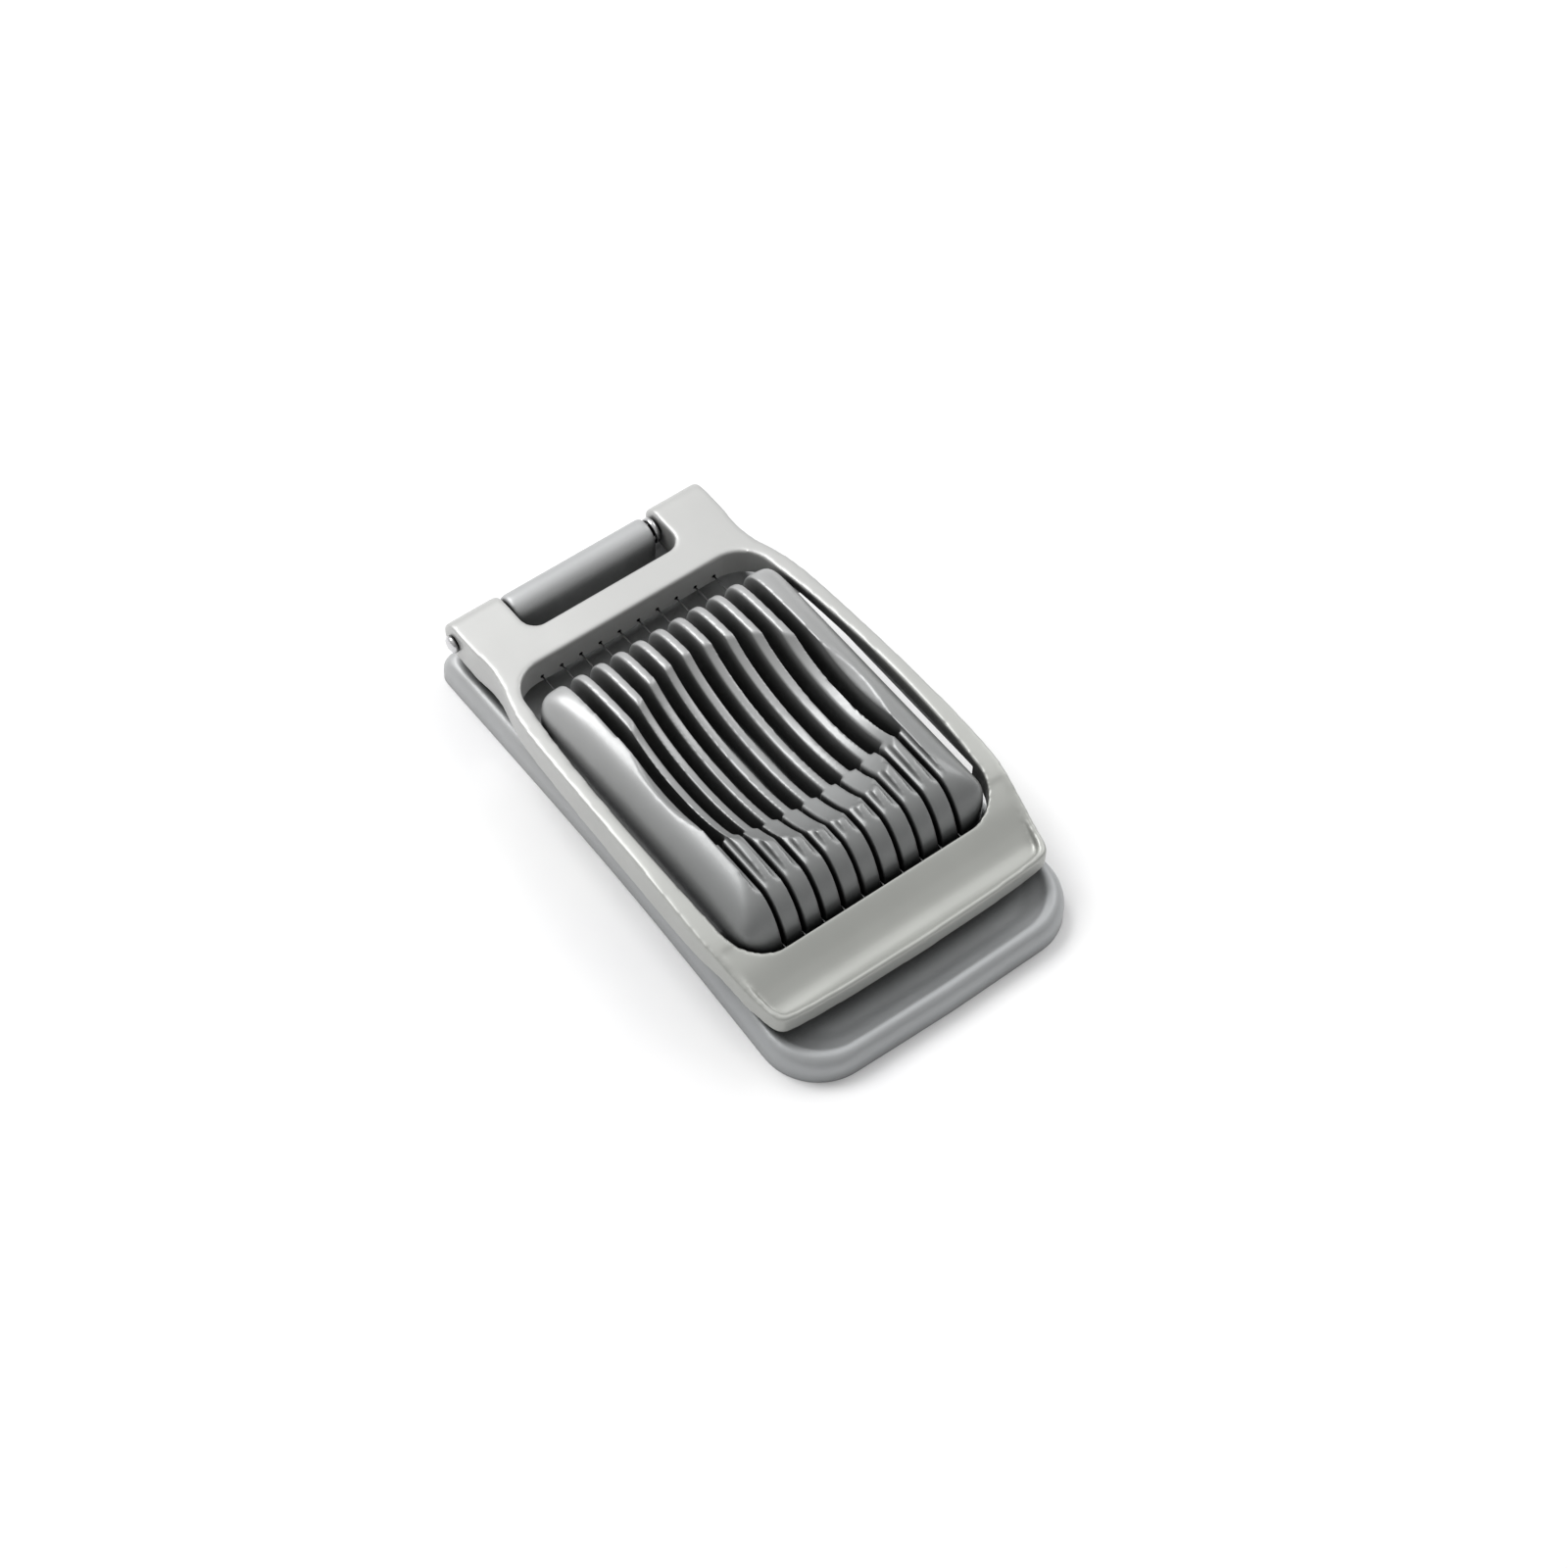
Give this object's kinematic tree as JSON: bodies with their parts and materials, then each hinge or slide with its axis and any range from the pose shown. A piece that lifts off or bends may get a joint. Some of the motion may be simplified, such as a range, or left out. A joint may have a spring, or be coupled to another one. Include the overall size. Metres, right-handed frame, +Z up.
{
  "type": "egg slicer",
  "caption": "Cast-aluminium egg slicer: a ribbed egg cradle on a rimmed base plate, under a hinged frame strung with fine steel cutting wires.",
  "frame": {"origin": "centre of the footprint, at the surface that the base stands on", "axes": "+X to the right, +Y towards the hinge, +Z up; the lip that is lifted is at -Y"},
  "size_m": [0.0762, 0.132, 0.0258],
  "materials": {
    "cast_aluminium": "satin, lacquered casting",
    "base_casting": "satin, lacquered casting",
    "stainless_steel": "bright drawn wire and turned pins"
  },
  "bodies": {
    "base": {"base_plate": "base_casting", "egg_cradle": "cast_aluminium", "cradle_screw_front": "stainless_steel", "cradle_screw_rear": "stainless_steel"},
    "cutting_head": {"cutting_frame": "cast_aluminium", "hinge_pin": "stainless_steel", "hinge_washer": "stainless_steel", "cutting_wire_01": "stainless_steel", "cutting_wire_02": "stainless_steel", "cutting_wire_03": "stainless_steel", "cutting_wire_04": "stainless_steel", "cutting_wire_05": "stainless_steel", "cutting_wire_06": "stainless_steel", "cutting_wire_07": "stainless_steel", "cutting_wire_08": "stainless_steel", "cutting_wire_09": "stainless_steel", "cutting_wire_10": "stainless_steel", "front_ferrule_01": "stainless_steel", "front_ferrule_02": "stainless_steel", "front_ferrule_03": "stainless_steel", "front_ferrule_04": "stainless_steel", "front_ferrule_05": "stainless_steel", "front_ferrule_06": "stainless_steel", "front_ferrule_07": "stainless_steel", "front_ferrule_08": "stainless_steel", "front_ferrule_09": "stainless_steel", "front_ferrule_10": "stainless_steel", "rear_ferrule_01": "stainless_steel", "rear_ferrule_02": "stainless_steel", "rear_ferrule_03": "stainless_steel", "rear_ferrule_04": "stainless_steel", "rear_ferrule_05": "stainless_steel", "rear_ferrule_06": "stainless_steel", "rear_ferrule_07": "stainless_steel", "rear_ferrule_08": "stainless_steel", "rear_ferrule_09": "stainless_steel", "rear_ferrule_10": "stainless_steel"}
  },
  "joints": [
    {"name": "head_hinge", "type": "hinge", "parent": "base", "child": "cutting_head", "pos_m": [0, 0.0615, 0.0139], "axis": [-1, 0, 0], "range_deg": [0, 100]}
  ]
}
